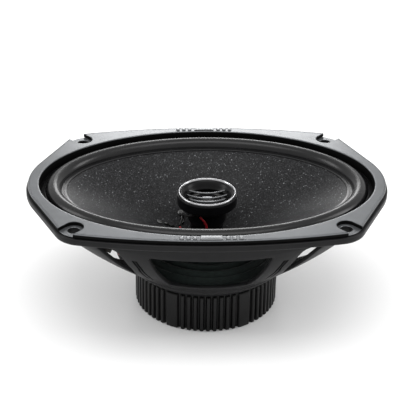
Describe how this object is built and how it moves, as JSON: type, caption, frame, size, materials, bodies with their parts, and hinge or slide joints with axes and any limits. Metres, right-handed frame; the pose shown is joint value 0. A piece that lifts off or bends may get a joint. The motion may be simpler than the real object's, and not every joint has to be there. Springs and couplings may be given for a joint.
{
  "type": "coaxial car speaker",
  "caption": "Oval two-way coaxial car loudspeaker with a post-mounted dome tweeter, rubber surround, open basket and booted magnet.",
  "frame": {"origin": "centre of the four-hole mounting pattern, on the rear face of the mounting flange", "axes": "+Z out of the front of the speaker towards the listener, +X along the long side of the oval, +Y across it"},
  "size_m": [0.235, 0.16, 0.0878],
  "materials": {
    "frame_black": "fine matte texture",
    "ring_grey": "satin metallic grey",
    "badge_metal": "satin",
    "surround_rubber": "satin",
    "cone_composite": "satin with fine bright flecks",
    "spider_cloth": "woven matte",
    "former_film": "matte",
    "copper_wire": "satin",
    "plated_metal": "bright",
    "black_adhesive": "glossy",
    "zinc_steel": "satin",
    "ferrite": "matte",
    "boot_rubber": "satin",
    "tinsel_braid": "braided",
    "board_black": "matte",
    "capacitor_sleeve": "gloss",
    "red_insulation": "satin",
    "black_insulation": "satin",
    "tweeter_black": "satin",
    "dome_film": "satin",
    "face_grey": "satin metallic grey",
    "bright_chrome": "mirror"
  },
  "bodies": {
    "chassis": {"basket": "frame_black", "trim_ring": "ring_grey", "front_badge_plate": "badge_metal", "rear_badge_plate": "badge_metal", "surround": "surround_rubber", "spider": "spider_cloth", "top_plate": "zinc_steel", "ferrite_magnet": "ferrite", "t_yoke": "zinc_steel", "magnet_boot": "boot_rubber", "motor_rivets": "zinc_steel", "tinsel_lead_positive": "tinsel_braid", "tinsel_lead_negative": "tinsel_braid", "terminal_board": "board_black", "terminal_positive": "plated_metal", "terminal_negative": "plated_metal", "terminal_rivets": "zinc_steel", "crossover_capacitor": "capacitor_sleeve", "tweeter_feed_red": "red_insulation", "tweeter_feed_black": "black_insulation", "tweeter_wire_red": "red_insulation", "tweeter_wire_black": "black_insulation", "tweeter_post": "tweeter_black", "post_screw": "zinc_steel", "tweeter_housing": "tweeter_black", "tweeter_clamp_ring": "plated_metal", "tweeter_cup": "zinc_steel", "tweeter_magnet": "ferrite", "tweeter_pole_plate": "zinc_steel", "tweeter_suspension": "surround_rubber", "tweeter_face": "face_grey", "tweeter_trim_ring": "bright_chrome"},
    "woofer_cone": {"cone": "cone_composite", "voice_coil_former": "former_film", "voice_coil_winding": "copper_wire", "cone_eyelets": "plated_metal", "lead_dressing": "black_adhesive"},
    "tweeter_diaphragm": {"tweeter_dome": "dome_film", "tweeter_coil": "copper_wire"}
  },
  "joints": [
    {"name": "cone_excursion", "type": "slide", "parent": "chassis", "child": "woofer_cone", "axis": [0, 0, 1], "range_m": [-0.004, 0.004], "stiffness_N_per_m": 3000, "deforming": ["surround", "spider", "tinsel_lead_positive", "tinsel_lead_negative", "tweeter_feed_red", "tweeter_feed_black", "tweeter_wire_red", "tweeter_wire_black"]},
    {"name": "tweeter_excursion", "type": "slide", "parent": "chassis", "child": "tweeter_diaphragm", "axis": [0, 0, 1], "range_m": [-0.00025, 0.00025], "stiffness_N_per_m": 1500, "deforming": ["tweeter_suspension"]}
  ]
}
